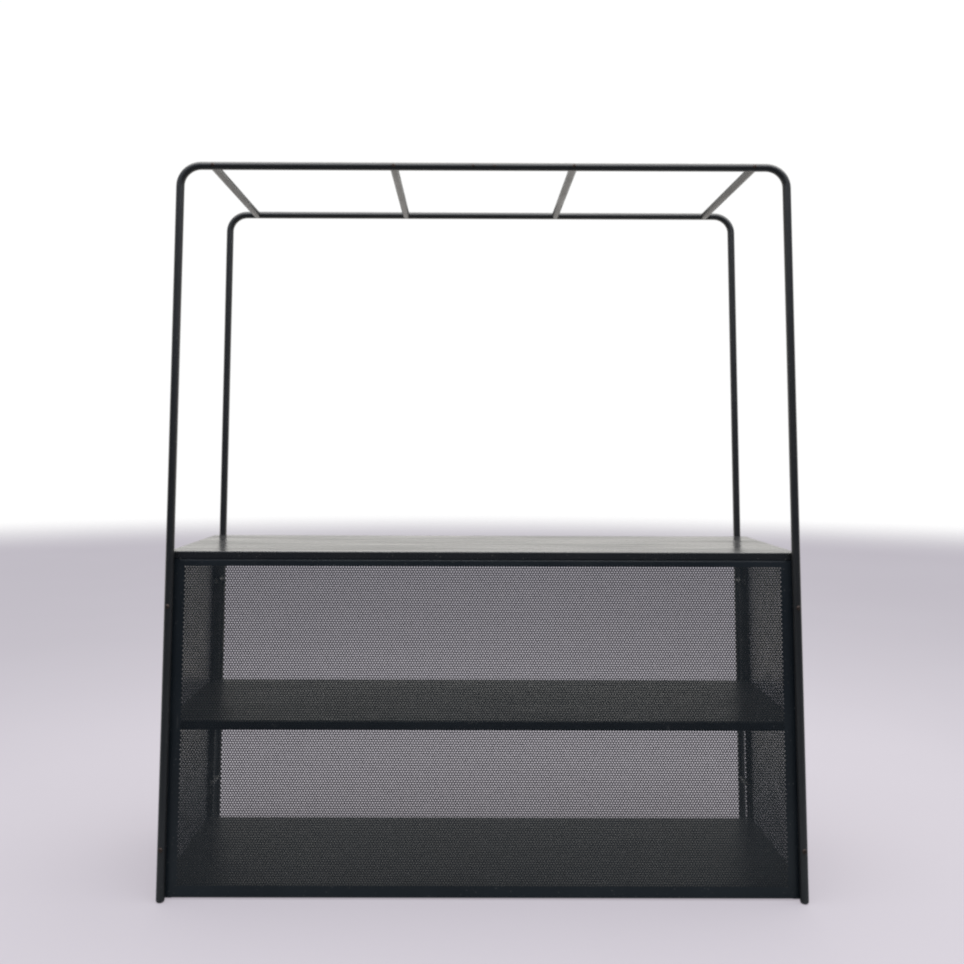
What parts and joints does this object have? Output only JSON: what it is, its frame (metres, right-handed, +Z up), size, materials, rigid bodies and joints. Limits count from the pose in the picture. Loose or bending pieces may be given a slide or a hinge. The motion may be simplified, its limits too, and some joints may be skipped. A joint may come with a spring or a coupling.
{
  "type": "gondola shelving unit",
  "caption": "Black steel retail gondola: bent-tube hoop frame over a low cabinet with a solid counter, perforated front and sides, inner shelves and an open back.",
  "frame": {"origin": "on the floor, under the centre of the unit, midway between the front and rear hoops", "axes": "+X to the right seen from the perforated front, +Y from the perforated front to the open back, +Z up"},
  "size_m": [1.4424, 0.5152, 1.667],
  "materials": {
    "tube_frame_paint": "black semi-gloss powder coat",
    "panel_paint": "blue-black semi-gloss powder coat on perforated sheet",
    "counter_paint": "black semi-gloss powder coat with a fine orange peel",
    "shelf_paint": "black semi-gloss powder coat",
    "zinc_steel": "zinc-plated steel",
    "black_fastener": "blackened steel",
    "black_nylon": "moulded black nylon"
  },
  "bodies": {
    "root": {"front_hoop_left": "tube_frame_paint", "front_hoop_right": "tube_frame_paint", "rear_hoop_left": "tube_frame_paint", "rear_hoop_right": "tube_frame_paint", "crossbar_1": "tube_frame_paint", "crossbar_2": "tube_frame_paint", "crossbar_3": "tube_frame_paint", "crossbar_4": "tube_frame_paint", "leg_standoffs_rear": "tube_frame_paint", "front_panel": "panel_paint", "side_panel_left": "panel_paint", "side_panel_right": "panel_paint", "counter_rail_front": "panel_paint", "counter_rail_rear": "panel_paint", "counter_stiffener_front": "panel_paint", "counter_stiffener_rear": "panel_paint", "middle_shelf_stiffener": "panel_paint", "shelf_bracket_left": "panel_paint", "shelf_bracket_right": "panel_paint", "counter_top": "counter_paint", "middle_shelf": "shelf_paint", "bottom_shelf": "shelf_paint", "front_hoop_sleeve": "zinc_steel", "rear_hoop_sleeve": "zinc_steel", "crossbar_inserts": "zinc_steel", "counter_nuts": "zinc_steel", "leg_nuts_front": "zinc_steel", "leg_nuts_rear": "zinc_steel", "hoop_sleeve_screws": "black_fastener", "crossbar_screws_front": "black_fastener", "crossbar_screws_rear": "black_fastener", "panel_rivets": "black_fastener", "rail_rivets": "black_fastener", "bracket_rivets": "black_fastener", "shelf_screws": "black_fastener", "leg_screws_front": "black_fastener", "leg_screws_rear": "black_fastener", "foot_front_left": "black_nylon", "foot_front_right": "black_nylon", "foot_rear_left": "black_nylon", "foot_rear_right": "black_nylon", "leg_washers_front": "black_nylon"}
  },
  "joints": []
}
